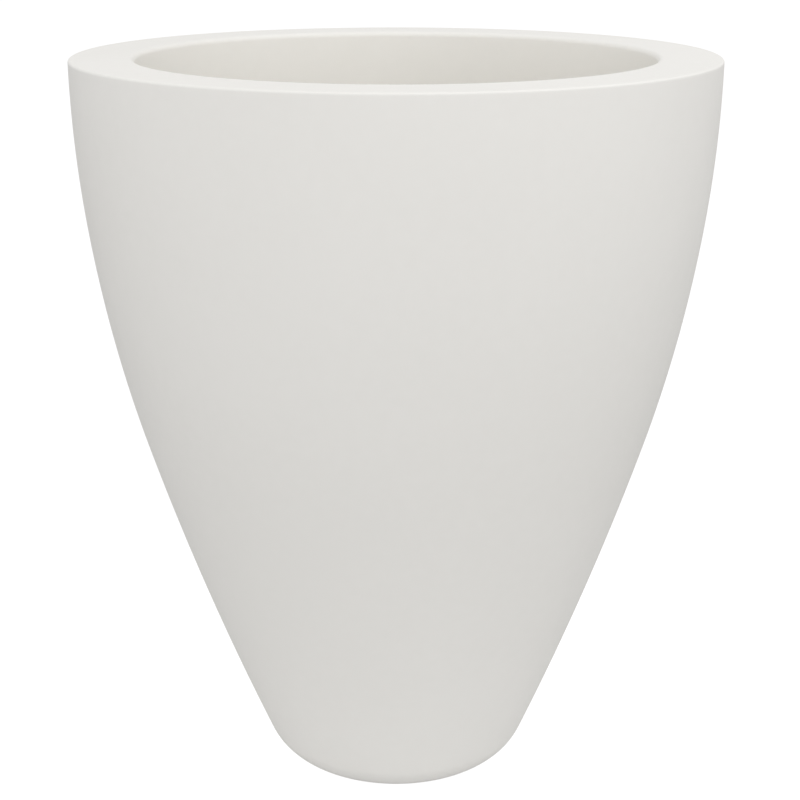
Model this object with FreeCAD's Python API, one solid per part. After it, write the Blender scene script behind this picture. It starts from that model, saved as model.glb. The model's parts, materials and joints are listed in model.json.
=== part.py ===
import FreeCAD, Part
import math
import os

# Tall tapered planter in glass-fibre laminate, with a wide lip turned in round its mouth.
#
# The shell is one moulding: a wall that runs down in three arcs to a rounded base corner,
# a foot ring and a floor. The lip is a second moulding, bonded on the wall's top edge and
# taped to it from inside. A pad stiffens the floor round the drain hole, and a rubber plug
# lifts out of the hole through the mouth.
#
# Millimetres, +Z up. The origin is the centre of the foot, on the ground.

# Whole planter
height = 840.0
rim_radius = 355.5
mouth_radius = 280.0

# Wall, from the lip's seat down: each arc starts in line with the one above it
wall_thickness = 5.0
upper_arc_radius = 1300.0
upper_arc_drop = 161.0
middle_arc_radius = 1575.0
middle_arc_drop = 265.0
lower_arc_radius = 3820.0
base_corner_radius = 66.0

# Foot and floor
foot_ring_width = 12.0
foot_recess_depth = 5.0
foot_recess_draft = 2.0
floor_thickness = 5.0
inner_corner_radius = 61.0
channel_count = 4
channel_width = 16.0
channel_depth = 2.5
first_channel_angle = 45.0

# Lip
lip_thickness = 7.0
lip_edge_radius = 6.4
lip_roll_radius = 13.0
lip_flange_depth = 76.0
least_inside_bevel = 1.0

# Tape that bonds the lip to the wall, in the corner under the lip
tape_thickness = 2.5
tape_wall_leg = 48.0
tape_flange_gap = 17.0
tape_fill = 8.0

# Floor pad, with the fillet of bonding paste round its foot
pad_thickness = 10.0
pad_edge_gap = 16.0
pad_bevel = 5.0
pad_fillet = 4.0
least_pad_wall = 0.5

# Drain hole and its plug
drain_radius = 12.5
plug_clearance = 0.3
plug_flange_lap = 10.0
plug_flange_thickness = 4.0
plug_flange_bevel = 1.0
plug_stem_taper = 1.0
plug_stem_bevel = 2.0
plug_neck_radius = 5.0
plug_neck_height = 6.0
plug_knob_radius = 9.5
plug_knob_height = 9.0
plug_knob_bevel = 2.5

# Levels and places that follow
lip_seat_z = height - lip_thickness
lip_roll = max(lip_roll_radius, lip_thickness)
lip_bevel = max(lip_roll - lip_thickness, least_inside_bevel)
flange_back = mouth_radius + lip_thickness
floor_top_z = foot_recess_depth + floor_thickness
pad_top_z = floor_top_z + pad_thickness


class Outline:
    """A closed outline in the XZ plane, drawn point by point as (radius, z)."""

    def __init__(self, radius, z):
        self.first = FreeCAD.Vector(radius, 0, z)
        self.last = self.first
        self.edges = []

    def line_to(self, radius, z):
        end = FreeCAD.Vector(radius, 0, z)
        if end.isEqual(self.last, 1e-6):
            return
        self.edges.append(Part.LineSegment(self.last, end).toShape())
        self.last = end

    def arc_to(self, radius, z, centre):
        """Arc of under a half turn about centre, which is (radius, z)."""
        middle = FreeCAD.Vector(centre[0], 0, centre[1])
        end = FreeCAD.Vector(radius, 0, z)
        towards = ((self.last - middle) + (end - middle)).normalize()
        crown = middle + towards * (self.last - middle).Length
        self.edges.append(Part.Arc(self.last, crown, end).toShape())
        self.last = end

    def spin(self):
        """Closes the outline and turns it about Z into a solid."""
        self.line_to(self.first.x, self.first.z)
        face = Part.Face(Part.Wire(self.edges))
        return face.revolve(FreeCAD.Vector(0, 0, 0), FreeCAD.Vector(0, 0, 1), 360)


def on_arc(centre, radius, slope):
    """Point of an arc where its line leans by slope, in radians, from upright."""
    return (centre[0] + radius * math.cos(slope), centre[1] - radius * math.sin(slope))


def wall_arcs():
    """The outer wall's arcs, from the top down: centre, radius, slope at the top and at the end.

    The lower arc has no end of its own, because it runs on until it meets the base corner.
    """
    first_centre = (rim_radius - upper_arc_radius, lip_seat_z)
    first_end = math.asin(upper_arc_drop / upper_arc_radius)
    second_centre = on_arc(first_centre, upper_arc_radius - middle_arc_radius, first_end)
    second_end_z = lip_seat_z - upper_arc_drop - middle_arc_drop
    second_end = math.asin((second_centre[1] - second_end_z) / middle_arc_radius)
    third_centre = on_arc(second_centre, middle_arc_radius - lower_arc_radius, second_end)
    return [
        (first_centre, upper_arc_radius, 0.0, first_end),
        (second_centre, middle_arc_radius, first_end, second_end),
        (third_centre, lower_arc_radius, second_end, None),
    ]


def base_corner(inset, corner_radius, floor_z):
    """Centre of the corner between the wall, moved in by inset, and a floor; and its slope."""
    centre, radius, _, _ = wall_arcs()[-1]
    reach = radius - inset - corner_radius
    drop = centre[1] - (floor_z + corner_radius)
    corner_centre = (centre[0] + math.sqrt(reach ** 2 - drop ** 2), floor_z + corner_radius)
    return corner_centre, math.asin(drop / reach)


def wall_stations(inset, last_slope):
    """Joints of the wall's arcs, from the top down, with the wall moved in by inset."""
    stations = []
    for centre, radius, _, end_slope in wall_arcs():
        slope = last_slope if end_slope is None else end_slope
        stations.append((on_arc(centre, radius - inset, slope), centre))
    return stations


def planter_shell():
    """Wall, base corner, foot ring and floor: one laminate moulding."""
    corner, slope = base_corner(0.0, base_corner_radius, 0.0)
    foot_radius = corner[0]
    recess_radius = foot_radius - foot_ring_width
    outline = Outline(rim_radius, lip_seat_z)
    for joint, centre in wall_stations(0.0, slope):
        outline.arc_to(*joint, centre)
    outline.arc_to(foot_radius, 0.0, corner)
    outline.line_to(recess_radius, 0.0)
    outline.line_to(recess_radius - foot_recess_draft, foot_recess_depth)
    outline.line_to(drain_radius, foot_recess_depth)
    outline.line_to(drain_radius, floor_top_z)

    inner_corner, inner_slope = base_corner(wall_thickness, inner_corner_radius, floor_top_z)
    outline.line_to(inner_corner[0], floor_top_z)
    inner_joints = wall_stations(wall_thickness, inner_slope)
    outline.arc_to(*inner_joints[-1][0], inner_corner)
    inner_top = (rim_radius - wall_thickness, lip_seat_z)
    ends_above = [inner_top] + [joint for joint, _ in inner_joints[:-1]]
    for (_, centre), above in zip(reversed(inner_joints), reversed(ends_above)):
        outline.arc_to(*above, centre)
    return outline.spin().cut(drain_channels(foot_radius))


def drain_channels(foot_radius):
    """Shallow rounded channels that let water out from under the foot ring."""
    round_radius = (channel_width ** 2 / 4 + channel_depth ** 2) / (2 * channel_depth)
    start = FreeCAD.Vector(0, 0, channel_depth - round_radius)
    channels = []
    for index in range(channel_count):
        angle = math.radians(first_channel_angle + index * 360.0 / channel_count)
        outwards = FreeCAD.Vector(math.cos(angle), math.sin(angle), 0)
        length = foot_radius + base_corner_radius
        channels.append(Part.makeCylinder(round_radius, length, start, outwards))
    return channels[0].fuse(channels[1:])


def lip_ring():
    """Flat lip with a rounded outer edge, rolled over at the mouth into a flange."""
    edge = min(lip_edge_radius, lip_thickness)
    flange_end_z = height - lip_flange_depth

    outline = Outline(rim_radius, lip_seat_z)
    outline.line_to(rim_radius, height - edge)
    outline.arc_to(rim_radius - edge, height, (rim_radius - edge, height - edge))
    outline.line_to(mouth_radius + lip_roll, height)
    roll_centre = (mouth_radius + lip_roll, height - lip_roll)
    outline.arc_to(mouth_radius, roll_centre[1], roll_centre)
    outline.line_to(mouth_radius, flange_end_z)
    outline.line_to(flange_back, flange_end_z)
    outline.line_to(flange_back, lip_seat_z - lip_bevel)
    outline.line_to(flange_back + lip_bevel, lip_seat_z)
    return outline.spin()


def lip_tape():
    """Laminated tape down the wall and along under the lip, with its corner filled."""
    centre, radius, _, _ = wall_arcs()[0]
    back_radius = radius - wall_thickness
    face_radius = back_radius - tape_thickness
    wall_slope = math.asin(tape_wall_leg / back_radius)
    fill_slope = math.asin((tape_thickness + tape_fill) / face_radius)
    lip_end = flange_back + lip_bevel + tape_flange_gap
    under_z = lip_seat_z - tape_thickness
    fill_end = rim_radius - wall_thickness - tape_thickness - tape_fill

    outline = Outline(rim_radius - wall_thickness, lip_seat_z)
    outline.arc_to(*on_arc(centre, back_radius, wall_slope), centre)
    outline.line_to(*on_arc(centre, face_radius, wall_slope))
    outline.arc_to(*on_arc(centre, face_radius, fill_slope), centre)
    outline.line_to(fill_end, under_z)
    outline.line_to(lip_end, under_z)
    outline.line_to(lip_end, lip_seat_z)
    return outline.spin()


def floor_pad():
    """Stiffening pad bonded on the floor, drilled in line with the drain hole."""
    inner_corner, _ = base_corner(wall_thickness, inner_corner_radius, floor_top_z)
    pad_radius = inner_corner[0] - pad_edge_gap
    room = (pad_thickness - least_pad_wall) / (pad_bevel + pad_fillet)
    bevel = pad_bevel * min(1.0, room)
    fillet = pad_fillet * min(1.0, room)
    outline = Outline(drain_radius, floor_top_z)
    outline.line_to(pad_radius + fillet, floor_top_z)
    outline.line_to(pad_radius, floor_top_z + fillet)
    outline.line_to(pad_radius, pad_top_z - bevel)
    outline.line_to(pad_radius - bevel, pad_top_z)
    outline.line_to(drain_radius, pad_top_z)
    return outline.spin()


def drain_plug():
    """Rubber plug: a tapered stem in the hole, a flange on the pad and a knob to pull."""
    stem_radius = drain_radius - plug_clearance
    stem_end = stem_radius - plug_stem_taper
    flange_radius = drain_radius + plug_flange_lap
    flange_top_z = pad_top_z + plug_flange_thickness
    knob_foot_z = flange_top_z + plug_neck_height
    knob_top_z = knob_foot_z + plug_knob_height
    knob_flat = plug_knob_radius - plug_knob_bevel

    outline = Outline(0.0, foot_recess_depth)
    outline.line_to(stem_end - plug_stem_bevel, foot_recess_depth)
    outline.line_to(stem_end, foot_recess_depth + plug_stem_bevel)
    outline.line_to(stem_radius, pad_top_z)
    outline.line_to(flange_radius, pad_top_z)
    outline.line_to(flange_radius, flange_top_z - plug_flange_bevel)
    outline.line_to(flange_radius - plug_flange_bevel, flange_top_z)
    outline.line_to(plug_neck_radius, flange_top_z)
    outline.line_to(plug_neck_radius, knob_foot_z)
    outline.line_to(knob_flat, knob_foot_z)
    outline.line_to(plug_knob_radius, knob_foot_z + plug_knob_bevel)
    outline.line_to(plug_knob_radius, knob_top_z - plug_knob_bevel)
    outline.line_to(knob_flat, knob_top_z)
    outline.line_to(0.0, knob_top_z)
    return outline.spin()


def main():
    os.makedirs("parts", exist_ok=True)
    nodes = {
        "planter_shell": planter_shell(),
        "lip_ring": lip_ring(),
        "lip_tape": lip_tape(),
        "floor_pad": floor_pad(),
        "drain_plug": drain_plug(),
    }
    for name, shape in nodes.items():
        solid = shape.Solids[0]
        print(name, len(shape.Solids), solid.isValid(), round(solid.Volume))
        solid.exportStep("parts/" + name + ".step")


main()
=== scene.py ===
import json
import math

import bmesh
import bpy
from mathutils import Matrix, Vector, noise


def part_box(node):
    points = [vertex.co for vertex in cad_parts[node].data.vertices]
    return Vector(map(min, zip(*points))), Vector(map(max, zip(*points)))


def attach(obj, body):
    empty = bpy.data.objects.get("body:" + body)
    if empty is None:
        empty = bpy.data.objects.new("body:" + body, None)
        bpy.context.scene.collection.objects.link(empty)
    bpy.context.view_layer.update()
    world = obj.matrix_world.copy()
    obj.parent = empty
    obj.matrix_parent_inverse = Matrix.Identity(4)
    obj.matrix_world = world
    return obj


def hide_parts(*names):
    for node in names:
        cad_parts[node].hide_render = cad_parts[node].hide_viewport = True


# The looks of a tall tapered planter: white gelcoat over a glass-fibre laminate.
# Metres, in the frame's own axes. Every piece is a section turned about the planter's axis.

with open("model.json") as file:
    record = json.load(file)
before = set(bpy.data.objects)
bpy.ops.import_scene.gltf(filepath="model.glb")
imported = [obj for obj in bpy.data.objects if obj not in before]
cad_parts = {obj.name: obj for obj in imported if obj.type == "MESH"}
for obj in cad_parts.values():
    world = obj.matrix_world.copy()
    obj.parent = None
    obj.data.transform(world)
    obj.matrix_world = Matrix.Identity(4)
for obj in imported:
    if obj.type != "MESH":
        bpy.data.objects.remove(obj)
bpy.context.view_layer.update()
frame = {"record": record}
MM = 0.001


def mount_named(name):
    return next(m for m in frame["record"]["mounts"] if m["name"] == name)


# Sizes taken from the frame
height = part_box("lip_ring")[1].z
rim_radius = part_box("lip_ring")[1].x
flange_end_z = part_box("lip_ring")[0].z
lip_seat_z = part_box("planter_shell")[1].z
mouth_radius = mount_named("mouth")["dims"]["r_mm"] * MM
floor_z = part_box("floor_pad")[0].z
pad_top_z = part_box("floor_pad")[1].z
pad_foot_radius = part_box("floor_pad")[1].x
plug_foot_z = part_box("drain_plug")[0].z
plug_top_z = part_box("drain_plug")[1].z
plug_flange_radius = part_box("drain_plug")[1].x
tape_foot_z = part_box("lip_tape")[0].z

# The wall's arcs and corners, as in the frame's own section
wall_thickness = 5.0 * MM
upper_arc_radius = 1300.0 * MM
upper_arc_drop = 161.0 * MM
middle_arc_radius = 1575.0 * MM
middle_arc_drop = 265.0 * MM
lower_arc_radius = 3820.0 * MM
base_corner_radius = 66.0 * MM
inner_corner_radius = 61.0 * MM
foot_ring_width = 12.0 * MM
foot_recess_depth = 5.0 * MM
foot_recess_draft = 2.0 * MM
channel_count = 4
channel_width = 16.0 * MM
channel_depth = 2.5 * MM
first_channel_angle = math.radians(45.0)
drain_radius = 12.5 * MM

# Lip, tape, pad and plug. The lip's edge and roll are tighter than the solid's, and the flange
# leans out by its draft, so only the flange's lower end is as narrow as the mouth's bore.
lip_thickness = height - lip_seat_z
lip_edge_radius = 2.6 * MM
mouth_roll_radius = 6.5 * MM
flange_draft = math.radians(4.3)
flange_back_fillet = 6.0 * MM
tape_thickness = 2.5 * MM
tape_fill = 8.0 * MM
tape_inner_radius = 310.0 * MM
pad_fillet = 4.0 * MM
pad_radius = pad_foot_radius - pad_fillet
pad_edge_radius = 5.0 * MM
plug_clearance = 0.3 * MM
plug_stem_taper = 1.0 * MM
plug_flange_thickness = 4.0 * MM
plug_neck_radius = 5.0 * MM
plug_neck_height = 6.0 * MM
plug_knob_radius = 9.5 * MM

# The coat, and how round the fine edges are
gelcoat_depth = 0.8 * MM
foot_edge_softness = 1.5 * MM
recess_corner_softness = 2.5 * MM
hole_edge_softness = 0.4 * MM
flange_end_softness = 1.2 * MM
pad_hole_softness = 0.8 * MM
plug_foot_softness = 2.0 * MM
plug_flange_foot_softness = 0.6 * MM
plug_flange_top_softness = 1.8 * MM
plug_neck_foot_softness = 1.6 * MM
plug_neck_top_softness = 1.0 * MM
plug_knob_foot_softness = 3.0 * MM
plug_knob_top_softness = 3.2 * MM
tape_edge_thickness = 0.7 * MM
tape_thinning = 6.0 * MM

# Hand work: how deep an uneven back is, how long its waves are, and how far it stays flat
wall_back_depth = 0.7 * MM
wall_back_wave = 60.0 * MM
flat_round_pad = 12.0 * MM
flat_below_tape = 30.0 * MM
lip_back_depth = 0.5 * MM
lip_back_wave = 40.0 * MM
flat_over_flange_end = 8.0 * MM
flat_behind_coat = 2.0 * MM
seat_margin = 1.0 * MM
flat_round_tape = 12.0 * MM
tape_margin = 1.0 * MM
pad_top_depth = 0.5 * MM
pad_top_wave = 30.0 * MM
flat_round_plug = 8.0 * MM
flat_over_pad_foot = 3.0 * MM
bead_tuck = 1.0 * MM
bead_sink = 0.2 * MM
bead_wave = 14.0 * MM
bead_wander = 0.018

# The strand map: faces that look up or down lie by x and y, the others wrap round the planter
flat_face_normal = 0.75
wrap_share_of_rim = 0.8

sharp_edge_angle = math.radians(38)
SAME_PLACE = 1e-6
QUARTER_TURN = math.pi / 2

TURN_STEPS = 384
TURN_DOUBLINGS = 4
CORNER_STEPS = 4


# ---------------------------------------------------------------- sections


class Section:
    """An outline in the XZ plane, drawn from point to point and turned about Z into a solid."""

    def __init__(self, radius, z):
        self.bm = bmesh.new()
        self.tip = self.bm.verts.new((radius, 0, z))
        self.start = self.tip
        self.soft_corners = []

    def line(self, radius, z, steps=1):
        start = self.tip.co.copy()
        end = Vector((radius, 0, z))
        for step in range(1, steps + 1):
            point = self.bm.verts.new(start.lerp(end, step / steps))
            self.bm.edges.new((self.tip, point))
            self.tip = point

    def arc(self, centre, slope_turn, steps):
        """Turns the tip about centre, which is (radius, z). A positive turn leads down."""
        turned = bmesh.ops.spin(
            self.bm, geom=[self.tip], cent=(centre[0], 0, centre[1]), axis=(0, 1, 0),
            angle=slope_turn, steps=steps,
        )
        self.tip = next(v for v in turned["geom_last"] if isinstance(v, bmesh.types.BMVert))

    def soften(self, radius):
        """Rounds the corner at the tip once the outline is closed."""
        self.soft_corners.append((self.tip, radius))

    def turn(self):
        """Closes the outline, rounds its corners and turns it about Z.

        Part of the turn is spun, and then copied on round, which is far quicker than one spin.
        """
        bm = self.bm
        on_axis = abs(self.tip.co.x) < SAME_PLACE and abs(self.start.co.x) < SAME_PLACE
        bm.edges.new((self.tip, self.start))
        bmesh.ops.edgeloop_fill(bm, edges=bm.edges[:])
        for corner, radius in self.soft_corners:
            bmesh.ops.bevel(
                bm, geom=[corner], offset=radius, offset_type="OFFSET", segments=CORNER_STEPS,
                profile=0.5, affect="VERTICES", material=-1,
            )
        bmesh.ops.delete(bm, geom=bm.faces[:], context="FACES_ONLY")
        if on_axis:
            bm.edges.remove(bm.edges.get((self.tip, self.start)))
        shares = 2 ** TURN_DOUBLINGS
        bmesh.ops.spin(
            bm, geom=bm.verts[:] + bm.edges[:], cent=(0, 0, 0), axis=(0, 0, 1),
            angle=math.tau / shares, steps=TURN_STEPS // shares,
        )
        for doubling in range(TURN_DOUBLINGS, 0, -1):
            copied = bmesh.ops.duplicate(bm, geom=bm.verts[:] + bm.edges[:] + bm.faces[:])["geom"]
            bmesh.ops.rotate(
                bm, verts=[part for part in copied if isinstance(part, bmesh.types.BMVert)],
                cent=(0, 0, 0), matrix=Matrix.Rotation(math.tau / 2 ** doubling, 3, "Z"),
            )
        bmesh.ops.remove_doubles(bm, verts=bm.verts[:], dist=SAME_PLACE)
        bmesh.ops.recalc_face_normals(bm, faces=bm.faces[:])
        return bm


def on_arc(centre, radius, slope):
    """Point of an arc where its line leans by slope, in radians, from upright."""
    return (centre[0] + radius * math.cos(slope), centre[1] - radius * math.sin(slope))


def wall_arcs():
    """The outer wall's arcs, from the top down: centre, radius, slope at its top and end."""
    first_centre = (rim_radius - upper_arc_radius, lip_seat_z)
    first_end = math.asin(upper_arc_drop / upper_arc_radius)
    second_centre = on_arc(first_centre, upper_arc_radius - middle_arc_radius, first_end)
    second_end_z = lip_seat_z - upper_arc_drop - middle_arc_drop
    second_end = math.asin((second_centre[1] - second_end_z) / middle_arc_radius)
    third_centre = on_arc(second_centre, middle_arc_radius - lower_arc_radius, second_end)
    return [
        (first_centre, upper_arc_radius, 0.0, first_end),
        (second_centre, middle_arc_radius, first_end, second_end),
        (third_centre, lower_arc_radius, second_end, None),
    ]


def base_corner(inset, corner_radius, level):
    """Centre of the corner between the wall, moved in by inset, and a level; and its slope."""
    centre, radius, _, _ = wall_arcs()[-1]
    reach = radius - inset - corner_radius
    drop = centre[1] - (level + corner_radius)
    corner_x = centre[0] + math.sqrt(reach ** 2 - drop ** 2)
    return (corner_x, level + corner_radius), math.asin(drop / reach)


def draw_wall_down(section, last_slope, steps):
    """Draws the wall's arcs from the lip's seat down to the slope where the corner starts."""
    for centre, _, top_slope, end_slope in wall_arcs():
        end = last_slope if end_slope is None else end_slope
        section.arc(centre, end - top_slope, steps)


def draw_wall_up(section, last_slope, steps):
    """Draws the wall's arcs from the corner up to the lip's seat."""
    for centre, _, top_slope, end_slope in reversed(wall_arcs()):
        end = last_slope if end_slope is None else end_slope
        section.arc(centre, top_slope - end, steps)


# ---------------------------------------------------------------- hand work on a turned mesh


def fade(value, start, end):
    """0 before start, 1 past end, and smooth between them."""
    share = min(max((value - start) / (end - start), 0.0), 1.0)
    return share * share * (3 - 2 * share)


def press_channels(bm):
    """Presses the shallow round drain channels into the underside of the foot ring."""
    round_radius = (channel_width ** 2 / 4 + channel_depth ** 2) / (2 * channel_depth)
    for vert in bm.verts:
        if vert.co.z > channel_depth:
            continue
        around = math.atan2(vert.co.y, vert.co.x) - first_channel_angle
        spacing = math.tau / channel_count
        aside = (around + spacing / 2) % spacing - spacing / 2
        offset = vert.co.xy.length * math.sin(aside)
        if abs(offset) < round_radius:
            level = channel_depth - round_radius + math.sqrt(round_radius ** 2 - offset ** 2)
            vert.co.z = max(vert.co.z, level)


def hand_laid(bm, depth, spacing, weight):
    """Moves the surface in and out a little, as resin laid up by hand is never even.

    weight says for a vertex how much it may move, from 0 to 1.
    """
    bm.normal_update()
    moves = []
    for vert in bm.verts:
        share = weight(vert)
        if share > 0:
            wave = noise.fractal(vert.co / spacing, 1.0, 2.0, 3, noise_basis="PERLIN_ORIGINAL")
            moves.append((vert, vert.normal * (wave * depth * share)))
    for vert, move in moves:
        vert.co += move


def lay_strand_map(bm):
    """A UV map in metres that follows the surface, for the lie of the glass strands.

    It runs round both sides from the front, so that its two ends meet without a cut.
    """
    layer = bm.loops.layers.uv.new("strands")
    for face in bm.faces:
        flat = abs(face.normal.z) > flat_face_normal
        for loop in face.loops:
            at = loop.vert.co
            if flat:
                loop[layer].uv = (at.x, at.y)
            else:
                from_front = abs(math.atan2(at.x, -at.y))
                loop[layer].uv = (from_front * rim_radius * wrap_share_of_rim, at.z)


def piece_from(bm, name, material, body, nodes):
    """Makes a finished mesh a piece that rides a body, stands for its nodes and has a slot."""
    mesh = bpy.data.meshes.new(name)
    bm.to_mesh(mesh)
    bm.free()
    mesh.polygons.foreach_set("use_smooth", [True] * len(mesh.polygons))
    mesh.set_sharp_from_angle(angle=sharp_edge_angle)
    mesh.materials.append(material)
    piece = bpy.data.objects.new(name, mesh)
    bpy.context.scene.collection.objects.link(piece)
    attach(piece, body)
    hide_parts(*nodes)
    return piece


# ---------------------------------------------------------------- pieces


def coat_back(corner):
    """Level of the coat's back over the foot, and its radius and slope in the base corner."""
    back_z = foot_recess_depth + gelcoat_depth
    back_radius = base_corner_radius - gelcoat_depth
    return back_z, back_radius, math.asin((corner[1] - back_z) / back_radius)


def shell_gelcoat(material):
    """The white coat on the outside of the wall, corner, foot ring, recess and drain hole."""
    corner, slope = base_corner(0.0, base_corner_radius, 0.0)
    recess_radius = corner[0] - foot_ring_width
    back_z, back_radius, back_slope = coat_back(corner)

    section = Section(rim_radius, lip_seat_z)
    draw_wall_down(section, slope, steps=30)
    section.arc(corner, QUARTER_TURN - slope, steps=44)
    section.line(recess_radius, 0.0, steps=8)
    section.soften(foot_edge_softness)
    section.line(recess_radius - foot_recess_draft, foot_recess_depth, steps=4)
    section.soften(recess_corner_softness)
    section.line(drain_radius, foot_recess_depth, steps=20)
    section.soften(hole_edge_softness)
    section.line(drain_radius, back_z)
    section.line(*on_arc(corner, back_radius, back_slope))
    section.arc(corner, slope - back_slope, steps=6)
    draw_wall_up(section, slope, steps=8)
    bm = section.turn()
    press_channels(bm)
    return piece_from(bm, "shell_gelcoat", material, "planter", ["planter_shell"])


def shell_laminate(material):
    """The glass-fibre laminate behind the coat: floor, inner corner and the wall's inside."""
    corner, slope = base_corner(0.0, base_corner_radius, 0.0)
    back_z, _, back_slope = coat_back(corner)
    inner_corner, inner_slope = base_corner(wall_thickness, inner_corner_radius, floor_z)

    section = Section(rim_radius - gelcoat_depth, lip_seat_z)
    draw_wall_down(section, slope, steps=8)
    section.arc(corner, back_slope - slope, steps=6)
    section.line(drain_radius, back_z)
    section.line(drain_radius, floor_z)
    section.line(inner_corner[0], floor_z, steps=24)
    section.arc(inner_corner, inner_slope - QUARTER_TURN, steps=24)
    draw_wall_up(section, inner_slope, steps=40)
    bm = section.turn()

    def inside(vert):
        """Only what faces into the planter moves, and not under the pad or behind the tape."""
        radius = vert.co.xy.length
        facing = vert.normal.z if radius < inner_corner[0] else -vert.normal.xy.dot(vert.co.xy)
        if facing <= 0 or vert.co.z < floor_z - SAME_PLACE:
            return 0.0
        clear_of_pad = fade(radius, pad_radius, pad_radius + flat_round_pad)
        return clear_of_pad * (1 - fade(vert.co.z, tape_foot_z - flat_below_tape, tape_foot_z))

    hand_laid(bm, wall_back_depth, wall_back_wave, inside)
    lay_strand_map(bm)
    return piece_from(bm, "shell_laminate", material, "planter", ["planter_shell"])


def flange_face(z, behind=0.0):
    """Radius of the flange's face at z, or of the line that lies that far behind the face.

    The face leans out upwards by the draft that lets the lip leave its mould.
    """
    lean = (z - flange_end_z) * math.tan(flange_draft)
    return mouth_radius + lean + behind / math.cos(flange_draft)


def roll_at_mouth(radius, behind, level):
    """Centre and turn of a corner that runs from a level into the line behind the face."""
    centre_z = level - radius
    return (flange_face(centre_z, behind + radius), centre_z), QUARTER_TURN - flange_draft


def lip_corners():
    """Centre of the lip's outer edge, and centre and turn of the roll at the mouth."""
    edge_centre = (rim_radius - lip_edge_radius, height - lip_edge_radius)
    return edge_centre, *roll_at_mouth(mouth_roll_radius, 0.0, height)


def lip_gelcoat(material):
    """The white coat over the lip: edge, top, roll and the flange's face."""
    edge_centre, roll_centre, roll_turn = lip_corners()
    back_roll_radius = mouth_roll_radius - gelcoat_depth
    back_of_roll = on_arc(roll_centre, back_roll_radius, math.pi + flange_draft)

    section = Section(rim_radius, lip_seat_z)
    section.line(rim_radius, edge_centre[1])
    section.arc(edge_centre, -QUARTER_TURN, steps=12)
    section.line(roll_centre[0], height, steps=14)
    section.arc(roll_centre, -roll_turn, steps=16)
    section.line(mouth_radius, flange_end_z, steps=16)
    section.soften(hole_edge_softness)
    section.line(flange_face(flange_end_z, gelcoat_depth), flange_end_z)
    section.line(*back_of_roll, steps=2)
    section.arc(roll_centre, roll_turn, steps=10)
    section.line(edge_centre[0], height - gelcoat_depth, steps=2)
    section.arc(edge_centre, QUARTER_TURN, steps=8)
    section.line(rim_radius - gelcoat_depth, lip_seat_z)
    bm = section.turn()
    return piece_from(bm, "lip_gelcoat", material, "planter", ["lip_ring"])


def lip_laminate(material):
    """The laminate under the lip's coat, with the back of the roll and of the flange."""
    edge_centre, roll_centre, roll_turn = lip_corners()
    fillet_centre, fillet_turn = roll_at_mouth(flange_back_fillet, lip_thickness, lip_seat_z)

    section = Section(rim_radius - gelcoat_depth, lip_seat_z)
    section.line(rim_radius - gelcoat_depth, edge_centre[1])
    section.arc(edge_centre, -QUARTER_TURN, steps=8)
    section.line(roll_centre[0], height - gelcoat_depth, steps=2)
    section.arc(roll_centre, -roll_turn, steps=10)
    section.line(flange_face(flange_end_z, gelcoat_depth), flange_end_z, steps=2)
    section.line(flange_face(flange_end_z, lip_thickness), flange_end_z)
    section.soften(flange_end_softness)
    section.line(*on_arc(fillet_centre, flange_back_fillet, math.pi + flange_draft), steps=20)
    section.arc(fillet_centre, fillet_turn, steps=10)
    section.line(rim_radius - gelcoat_depth, lip_seat_z, steps=20)
    bm = section.turn()

    def back(vert):
        """Only the back of the flange and the underside between it and the tape move."""
        radius = vert.co.xy.length
        behind = radius - flange_face(vert.co.z)
        tape_nears = tape_inner_radius - flat_round_tape
        tape_starts = tape_inner_radius - tape_margin
        clear_of_end = fade(vert.co.z, flange_end_z, flange_end_z + flat_over_flange_end)
        clear_of_face = fade(behind, gelcoat_depth + flat_behind_coat, lip_thickness)
        clear_of_top = 1.0 - fade(vert.co.z, lip_seat_z + seat_margin, lip_seat_z + 2 * seat_margin)
        clear_of_tape = 1.0 - fade(radius, tape_nears, tape_starts)
        return clear_of_end * clear_of_face * clear_of_top * clear_of_tape

    hand_laid(bm, lip_back_depth, lip_back_wave, back)
    lay_strand_map(bm)
    return piece_from(bm, "lip_laminate", material, "planter", ["lip_ring"])


def lip_tape(material):
    """Laminated tape in the corner under the lip, with its corner filled and its edges thin."""
    centre, radius, _, _ = wall_arcs()[0]
    back_radius = radius - wall_thickness
    face_radius = back_radius - tape_thickness
    end_slope = math.asin((lip_seat_z - tape_foot_z) / back_radius)
    fill_slope = math.asin((tape_thickness + tape_fill) / face_radius)
    under_z = lip_seat_z - tape_thickness
    fill_top = on_arc(centre, face_radius, fill_slope)
    fill_centre = (fill_top[0] - tape_fill, under_z - tape_fill)

    section = Section(rim_radius - wall_thickness, lip_seat_z)
    section.arc(centre, end_slope, steps=12)
    section.line(*on_arc(centre, back_radius - tape_edge_thickness, end_slope))
    section.line(*on_arc(centre, face_radius, end_slope - tape_thinning / face_radius), steps=4)
    section.arc(centre, fill_slope - end_slope + tape_thinning / face_radius, steps=10)
    section.arc(fill_centre, -QUARTER_TURN, steps=10)
    section.line(tape_inner_radius + tape_thinning, under_z, steps=8)
    section.line(tape_inner_radius, lip_seat_z - tape_edge_thickness, steps=4)
    section.line(tape_inner_radius, lip_seat_z)
    bm = section.turn()
    lay_strand_map(bm)
    return piece_from(bm, "laminated_tape", material, "planter", ["lip_tape"])


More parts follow.
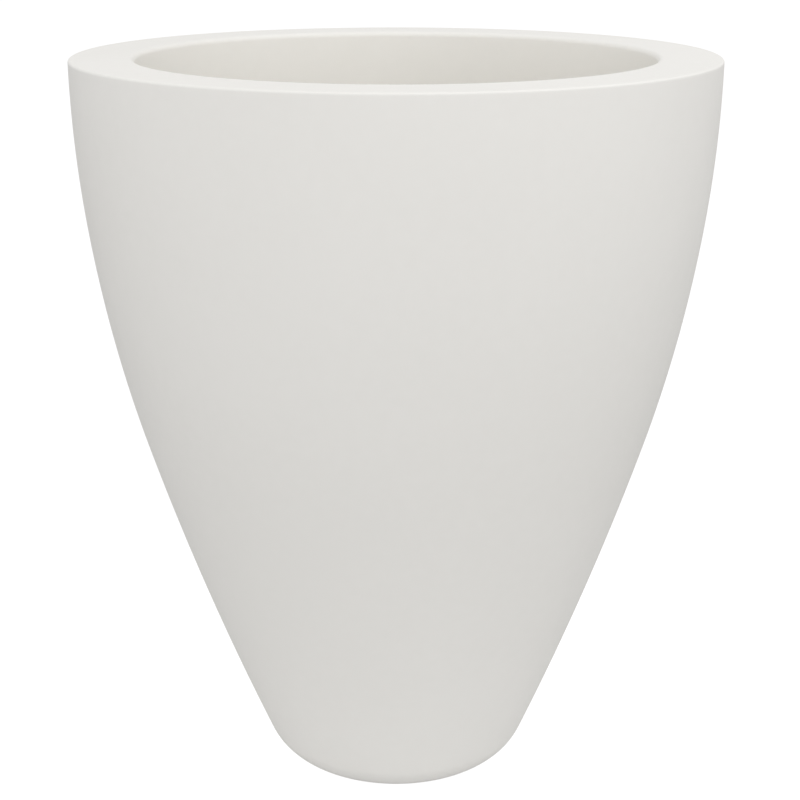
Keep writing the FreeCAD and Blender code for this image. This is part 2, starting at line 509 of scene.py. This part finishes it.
def floor_pad(material):
    """The stiffening pad glassed on the floor, with its round edge."""
    edge_centre = (pad_radius - pad_edge_radius, pad_top_z - pad_edge_radius)
    section = Section(drain_radius, floor_z)
    section.line(pad_radius, floor_z, steps=4)
    section.line(pad_radius, edge_centre[1], steps=2)
    section.arc(edge_centre, -QUARTER_TURN, steps=8)
    section.line(drain_radius, pad_top_z, steps=24)
    section.soften(pad_hole_softness)
    bm = section.turn()

    def top(vert):
        """Only the top and the edge move, and not under the plug's flange."""
        radius = vert.co.xy.length
        clear_of_plug = fade(radius, plug_flange_radius, plug_flange_radius + flat_round_plug)
        return clear_of_plug * fade(vert.co.z, floor_z, floor_z + flat_over_pad_foot)

    hand_laid(bm, pad_top_depth, pad_top_wave, top)
    for vert in bm.verts:
        vert.co.z = min(vert.co.z, pad_top_z)
    lay_strand_map(bm)
    return piece_from(bm, "glassed_pad", material, "planter", ["floor_pad"])


def pad_bond(material):
    """The bead of bonding paste pressed out round the foot of the pad."""
    section = Section(pad_radius - bead_tuck, floor_z - bead_sink)
    section.line(pad_radius + pad_fillet, floor_z - bead_sink, steps=4)
    section.line(pad_radius + pad_fillet, floor_z)
    centre = (pad_radius + pad_fillet, floor_z + pad_fillet)
    section.arc(centre, QUARTER_TURN, steps=8)
    section.line(pad_radius - bead_tuck, floor_z + pad_fillet)
    bm = section.turn()
    for vert in bm.verts:
        outward = fade(vert.co.xy.length, pad_radius, pad_radius + pad_fillet)
        wave = noise.noise(vert.co.xy.to_3d() / bead_wave)
        vert.co.xy *= 1.0 + outward * wave * bead_wander
    return piece_from(bm, "pad_bond", material, "planter", ["floor_pad"])


def drain_plug(material):
    """The rubber plug: a tapered stem, a flange on the pad, a neck and a knob to pull."""
    stem_radius = drain_radius - plug_clearance
    flange_top_z = pad_top_z + plug_flange_thickness
    knob_foot_z = flange_top_z + plug_neck_height
    section = Section(0.0, plug_foot_z)
    section.line(stem_radius - plug_stem_taper, plug_foot_z, steps=4)
    section.soften(plug_foot_softness)
    section.line(stem_radius, pad_top_z, steps=6)
    section.line(plug_flange_radius, pad_top_z, steps=3)
    section.soften(plug_flange_foot_softness)
    section.line(plug_flange_radius, flange_top_z)
    section.soften(plug_flange_top_softness)
    section.line(plug_neck_radius, flange_top_z, steps=4)
    section.soften(plug_neck_foot_softness)
    section.line(plug_neck_radius, knob_foot_z, steps=2)
    section.soften(plug_neck_top_softness)
    section.line(plug_knob_radius, knob_foot_z)
    section.soften(plug_knob_foot_softness)
    section.line(plug_knob_radius, plug_top_z, steps=2)
    section.soften(plug_knob_top_softness)
    section.line(0.0, plug_top_z, steps=4)
    bm = section.turn()
    return piece_from(bm, "rubber_plug", material, "plug", ["drain_plug"])


# ---------------------------------------------------------------- finishes


def new_group(name, inputs, outputs):
    """A node group with named inputs (name: kind and value) and outputs (name: kind)."""
    tree = bpy.data.node_groups.new(name, "ShaderNodeTree")
    for socket, (kind, value) in inputs.items():
        made = tree.interface.new_socket(socket, in_out="INPUT", socket_type="NodeSocket" + kind)
        made.default_value = value
    for socket, kind in outputs.items():
        tree.interface.new_socket(socket, in_out="OUTPUT", socket_type="NodeSocket" + kind)
    given = tree.nodes.new("NodeGroupInput").outputs
    result = tree.nodes.new("NodeGroupOutput").inputs
    return tree, given, result


def feed(tree, socket, source):
    """Gives a socket its source, which is another socket or a plain value."""
    if isinstance(source, bpy.types.NodeSocket):
        tree.links.new(source, socket)
    else:
        socket.default_value = source


def place(tree, kind, sources=None, **settings):
    """Places a node, feeds its inputs by name and gives its outputs."""
    made = tree.nodes.new(kind)
    for name, value in settings.items():
        setattr(made, name, value)
    for name, source in (sources or {}).items():
        feed(tree, made.inputs[name], source)
    return made.outputs


def place_group(tree, group, **sources):
    made = tree.nodes.new("ShaderNodeGroup")
    made.node_tree = group
    for name, source in sources.items():
        feed(tree, made.inputs[name], source)
    return made.outputs


def noise_at(tree, where, scale, detail=2.0):
    sources = {"Vector": where, "Scale": scale, "Detail": detail}
    return place(tree, "ShaderNodeTexNoise", sources)["Fac"]


def spread(tree, value, low, high, to_low=0.0, to_high=1.0):
    """Smoothly spreads the stretch of a value from low to high over a new range."""
    sources = {
        "Value": value, "From Min": low, "From Max": high, "To Min": to_low, "To Max": to_high,
    }
    return place(tree, "ShaderNodeMapRange", sources, interpolation_type="SMOOTHSTEP")["Result"]


def combine(tree, operation, first, second):
    made = tree.nodes.new("ShaderNodeMath")
    made.operation = operation
    feed(tree, made.inputs[0], first)
    feed(tree, made.inputs[1], second)
    return made.outputs["Value"]


def length_of(tree, vector):
    return place(tree, "ShaderNodeVectorMath", {"Vector": vector}, operation="LENGTH")["Value"]


def blend_colours(tree, share, first, second):
    """The first colour where share is 0, and the second where it is 1."""
    made = tree.nodes.new("ShaderNodeMix")
    made.data_type = "RGBA"
    feed(tree, made.inputs["Factor"], share)
    feed(tree, next(i for i in made.inputs if i.name == "A" and i.type == "RGBA"), first)
    feed(tree, next(i for i in made.inputs if i.name == "B" and i.type == "RGBA"), second)
    return next(o for o in made.outputs if o.type == "RGBA")


def cloudy_tone_group():
    """Slow drifts between two close tones, with a finer mottle in them."""
    mottle_fineness = 23.0
    slow_share = 0.7
    fine_share = 0.3
    tree, given, result = new_group(
        "cloudy_tone",
        {
            "Vector": ("Vector", (0, 0, 0)),
            "Scale": ("Float", 4.0),
            "Light": ("Color", (0.8, 0.8, 0.8, 1)),
            "Dark": ("Color", (0.7, 0.7, 0.7, 1)),
        },
        {"Color": "Color", "Drift": "Float"},
    )
    slow = noise_at(tree, given["Vector"], given["Scale"], detail=3.0)
    fine_scale = combine(tree, "MULTIPLY", given["Scale"], mottle_fineness)
    fine = noise_at(tree, given["Vector"], fine_scale, detail=3.0)
    slow_part = combine(tree, "MULTIPLY", slow, slow_share)
    fine_part = combine(tree, "MULTIPLY", fine, fine_share)
    drift = spread(tree, combine(tree, "ADD", slow_part, fine_part), low=0.36, high=0.64)
    feed(tree, result["Color"], blend_colours(tree, drift, given["Dark"], given["Light"]))
    feed(tree, result["Drift"], drift)
    return tree


# Noise this fine along, across and through a strand; how the layers lie, and their offset
strand_fineness = (17, 620, 1)
strand_turns = (0.2, 0.85, 1.5, 2.1, 2.75)
strand_offset = (3.1, 1.7, 5.3)
strand_rise = 0.35


def strand_layer(tree, where, turn, shift):
    """One lie of chopped strands: noise drawn out along a direction, cut to thin lines."""
    turned = place(
        tree, "ShaderNodeMapping", {"Vector": where, "Rotation": (0, 0, turn)},
    )["Vector"]
    drawn_out = place(
        tree, "ShaderNodeMapping",
        {"Vector": turned, "Location": shift, "Scale": strand_fineness},
    )["Vector"]
    threads = noise_at(tree, drawn_out, scale=1.0, detail=1.0)
    return spread(tree, threads, low=0.56, high=0.72)


def glass_strands_group():
    """Chopped glass strands of about 50 mm, lying every way in the resin."""
    tree, given, result = new_group(
        "glass_strands",
        {"Vector": ("Vector", (0, 0, 0))},
        {"Mask": "Float", "Height": "Float"},
    )
    layers = [
        strand_layer(tree, given["Vector"], turn, tuple(index * step for step in strand_offset))
        for index, turn in enumerate(strand_turns)
    ]
    mask = layers[0]
    for layer in layers[1:]:
        mask = combine(tree, "MAXIMUM", mask, layer)
    lumps = noise_at(tree, given["Vector"], scale=90.0, detail=3.0)
    raised = combine(tree, "MULTIPLY", mask, strand_rise)
    feed(tree, result["Mask"], mask)
    feed(tree, result["Height"], combine(tree, "ADD", raised, lumps))
    return tree


def settled_dust_group():
    """Where dust has settled: on faces that look up, in patches."""
    tree, given, result = new_group(
        "settled_dust",
        {"Vector": ("Vector", (0, 0, 0)), "Amount": ("Float", 0.5)},
        {"Mask": "Float"},
    )
    looks = place(tree, "ShaderNodeTexCoord")["Normal"]
    up = place(tree, "ShaderNodeSeparateXYZ", {"Vector": looks})["Z"]
    cloud = noise_at(tree, given["Vector"], scale=55.0, detail=5.0)
    patches = spread(tree, cloud, low=0.3, high=0.75)
    shelf = spread(tree, up, low=0.45, high=0.95)
    lying = combine(tree, "MULTIPLY", patches, shelf)
    feed(tree, result["Mask"], combine(tree, "MULTIPLY", lying, given["Amount"]))
    return tree


cloudy_tone = cloudy_tone_group()
glass_strands = glass_strands_group()
settled_dust = settled_dust_group()


def new_finish(name):
    """A material with its tree, its shader's inputs and where a point is on its piece."""
    material = bpy.data.materials.new(name)
    material.use_nodes = True
    tree = material.node_tree
    shader = tree.nodes["Principled BSDF"].inputs
    return material, tree, shader, place(tree, "ShaderNodeTexCoord")["Object"]


def raise_surface(tree, shader, height, depth, under=None):
    """A bump of that depth in metres, over another bump where there is one."""
    sources = {"Height": height, "Strength": 1.0, "Distance": depth}
    if under is not None:
        sources["Normal"] = under
    bumped = place(tree, "ShaderNodeBump", sources)["Normal"]
    feed(tree, shader["Normal"], bumped)
    return bumped


def white_gelcoat():
    """Satin white gelcoat: nearly even, with a faint orange peel and a scuffed foot."""
    material, tree, shader, where = new_finish("white_gelcoat")
    scuff_height = 3.0 * MM
    scuffed = (0.58, 0.56, 0.52, 1)
    scuff_dulling = 0.25
    coat = place_group(
        tree, cloudy_tone, Vector=where, Scale=3.2,
        Light=(0.910, 0.895, 0.861, 1), Dark=(0.896, 0.881, 0.846, 1),
    )["Color"]
    level = place(tree, "ShaderNodeSeparateXYZ", {"Vector": where})["Z"]
    near_ground = spread(tree, level, low=0.0, high=scuff_height, to_low=1.0, to_high=0.0)
    rub_marks = noise_at(tree, where, scale=420.0, detail=4.0)
    rubbed = spread(tree, rub_marks, low=0.45, high=0.75)
    scuffs = combine(tree, "MULTIPLY", near_ground, rubbed)
    feed(tree, shader["Base Color"], blend_colours(tree, scuffs, coat, scuffed))
    cloud = noise_at(tree, where, scale=14.0, detail=5.0)
    smear = spread(tree, cloud, low=0.3, high=0.7, to_low=0.52, to_high=0.62)
    duller = combine(tree, "MULTIPLY", scuffs, scuff_dulling)
    feed(tree, shader["Roughness"], combine(tree, "ADD", smear, duller))
    shader["Specular IOR Level"].default_value = 0.35
    ripple = raise_surface(tree, shader, noise_at(tree, where, scale=22.0), depth=0.10 * MM)
    peel = noise_at(tree, where, scale=420.0)
    raise_surface(tree, shader, peel, depth=0.014 * MM, under=ripple)
    return material


def bare_laminate(name, resin, strand, least_roughness):
    """The back of a hand-laid laminate: chopped strands under resin, uneven and dusty."""
    material, tree, shader, where = new_finish(name)
    dark_share = 0.95
    roughness_range = 0.22
    dust_colour = (0.52, 0.48, 0.41, 1)
    dust_dulling = 0.35
    along = place(tree, "ShaderNodeUVMap", uv_map="strands")["UV"]
    strands = place_group(tree, glass_strands, Vector=along)
    dust = place_group(tree, settled_dust, Vector=where, Amount=0.5)["Mask"]
    resin_tone = place_group(
        tree, cloudy_tone, Vector=where, Scale=9.0,
        Light=(*resin, 1), Dark=(*(dark_share * part for part in resin), 1),
    )["Color"]
    glass = blend_colours(tree, strands["Mask"], resin_tone, (*strand, 1))
    feed(tree, shader["Base Color"], blend_colours(tree, dust, glass, dust_colour))
    cloud = noise_at(tree, where, scale=30.0, detail=4.0)
    shine = spread(
        tree, cloud, low=0.3, high=0.7,
        to_low=least_roughness, to_high=least_roughness + roughness_range,
    )
    duller = combine(tree, "MULTIPLY", dust, dust_dulling)
    feed(tree, shader["Roughness"], combine(tree, "ADD", shine, duller))
    wet_out = raise_surface(tree, shader, noise_at(tree, where, scale=60.0), depth=0.5 * MM)
    raise_surface(tree, shader, strands["Height"], depth=0.22 * MM, under=wet_out)
    return material


def bonding_paste():
    """Filled resin paste, pressed out and left: dull, a little grainy, with pinholes darkened by
    painted shade.
    """
    material, tree, shader, where = new_finish("bonding_paste")
    # Painted shade: the dark colour of the inside of a pinhole, for the shade that falls in it
    pinhole_painted_shade = (0.26, 0.24, 0.20, 1)
    paste = place_group(
        tree, cloudy_tone, Vector=where, Scale=30.0,
        Light=(0.60, 0.57, 0.48, 1), Dark=(0.50, 0.47, 0.39, 1),
    )
    specks = noise_at(tree, where, scale=700.0, detail=1.0)
    # The pinholes are pressed in by the bump below and darkened with painted shade here
    holes = spread(tree, specks, low=0.66, high=0.74)
    feed(tree, shader["Base Color"], blend_colours(tree, holes, paste["Color"], pinhole_painted_shade))
    dull = spread(tree, paste["Drift"], low=0.0, high=1.0, to_low=0.45, to_high=0.6)
    feed(tree, shader["Roughness"], dull)
    grain = noise_at(tree, where, scale=140.0, detail=4.0)
    raise_surface(tree, shader, combine(tree, "SUBTRACT", grain, holes), depth=0.4 * MM)
    return material


def plug_rubber():
    """Matt black moulded rubber, fine-grained, greyed by dust on top."""
    material, tree, shader, where = new_finish("plug_rubber")
    dust_colour = (0.33, 0.31, 0.27, 1)
    dust_dulling = 0.3
    rubber = place_group(
        tree, cloudy_tone, Vector=where, Scale=40.0,
        Light=(0.045, 0.044, 0.043, 1), Dark=(0.026, 0.026, 0.027, 1),
    )
    dust = place_group(tree, settled_dust, Vector=where, Amount=0.35)["Mask"]
    feed(tree, shader["Base Color"], blend_colours(tree, dust, rubber["Color"], dust_colour))
    dull = spread(tree, rubber["Drift"], low=0.0, high=1.0, to_low=0.5, to_high=0.62)
    duller = combine(tree, "MULTIPLY", dust, dust_dulling)
    feed(tree, shader["Roughness"], combine(tree, "ADD", dull, duller))
    grain = noise_at(tree, where, scale=1600.0, detail=3.0)
    raise_surface(tree, shader, grain, depth=0.05 * MM)
    return material


# ---------------------------------------------------------------- build

gelcoat = white_gelcoat()
laminate = bare_laminate(
    "hand_laid_laminate",
    resin=(0.72, 0.69, 0.59), strand=(0.80, 0.78, 0.71), least_roughness=0.30,
)
flowcoated = bare_laminate(
    "flowcoated_laminate",
    resin=(0.925, 0.890, 0.790), strand=(0.945, 0.920, 0.850), least_roughness=0.34,
)
shell_gelcoat(gelcoat)
shell_laminate(flowcoated)
lip_gelcoat(gelcoat)
lip_laminate(flowcoated)
lip_tape(laminate)
floor_pad(laminate)
pad_bond(bonding_paste())
drain_plug(plug_rubber())


# ---------------------------------------------------------------- studio


# The floor and the surround look brighter to the camera than they light, so both show white
floor_shown_more = 0.68
surround_light = 0.80
surround_shown_more = 0.28
floor_radius = 60.0


def pale_floor():
    """A plain pale floor like a light table: it shows white, and glows a little at its middle."""
    material, tree, shader, where = new_finish("pale_floor")
    tone = place_group(
        tree, cloudy_tone, Vector=where, Scale=0.6,
        Light=(0.46, 0.46, 0.46, 1), Dark=(0.44, 0.44, 0.44, 1),
    )
    feed(tree, shader["Base Color"], tone["Color"])
    seen = place(tree, "ShaderNodeLightPath")["Is Camera Ray"]
    from_middle = length_of(tree, where)
    glow = spread(tree, from_middle, low=0.25, high=1.0, to_low=0.18, to_high=0.0)
    shown_more = combine(tree, "MULTIPLY", seen, floor_shown_more)
    feed(tree, shader["Emission Strength"], combine(tree, "ADD", glow, shown_more))
    shader["Emission Color"].default_value = (1, 1, 1, 1)
    shader["Roughness"].default_value = 0.9
    shader["Specular IOR Level"].default_value = 0.1
    return material


def floor_disc():
    """A wide pale floor under the planter."""
    bm = bmesh.new()
    bmesh.ops.create_circle(bm, cap_ends=True, segments=64, radius=floor_radius)
    mesh = bpy.data.meshes.new("studio_floor")
    bm.to_mesh(mesh)
    bm.free()
    floor = bpy.data.objects.new("studio_floor", mesh)
    mesh.materials.append(pale_floor())
    bpy.context.scene.collection.objects.link(floor)


def soft_light(name, location, target, size, power):
    lamp = bpy.data.lights.new(name, "AREA")
    lamp.shape = "DISK"
    lamp.size = size
    lamp.energy = power
    light = bpy.data.objects.new(name, lamp)
    light.location = location
    light.rotation_euler = (Vector(target) - Vector(location)).to_track_quat("-Z", "Y").to_euler()
    bpy.context.scene.collection.objects.link(light)


def studio_surround():
    """An even white surround, shown white and lighting the planter more softly than that."""
    world = bpy.data.worlds.new("studio")
    world.use_nodes = True
    tree = world.node_tree
    surround = tree.nodes["Background"].inputs
    surround["Color"].default_value = (1, 1, 1, 1)
    seen = place(tree, "ShaderNodeLightPath")["Is Camera Ray"]
    shown_more = combine(tree, "MULTIPLY", seen, surround_shown_more)
    feed(tree, surround["Strength"], combine(tree, "ADD", surround_light, shown_more))
    bpy.context.scene.world = world


bpy.context.scene.view_settings.view_transform = "Standard"
studio_surround()
floor_disc()
soft_light("front", location=(0, -3.9, 2.0), target=(0, 0, 0.45), size=2.5, power=33)
soft_light("left_side", location=(-3.6, 0, 1.6), target=(0, 0, 0.45), size=3.0, power=8)
soft_light("high_right", location=(2.7, -0.6, 3.0), target=(0, 0, 0.6), size=2.4, power=18)

camera_tilt_down = 17.243
camera_data = bpy.data.cameras.new("photo_view")
camera_data.lens = 75.0
camera_data.sensor_width = 36.0
camera_data.shift_x = 0.005
camera_data.clip_end = 200.0
camera = bpy.data.objects.new("photo_view", camera_data)
camera.location = (0.0, -1.8645, 1.0199)
camera.rotation_euler = (math.radians(90.0 - camera_tilt_down), 0.0, 0.0)
bpy.context.scene.collection.objects.link(camera)
bpy.context.scene.camera = camera
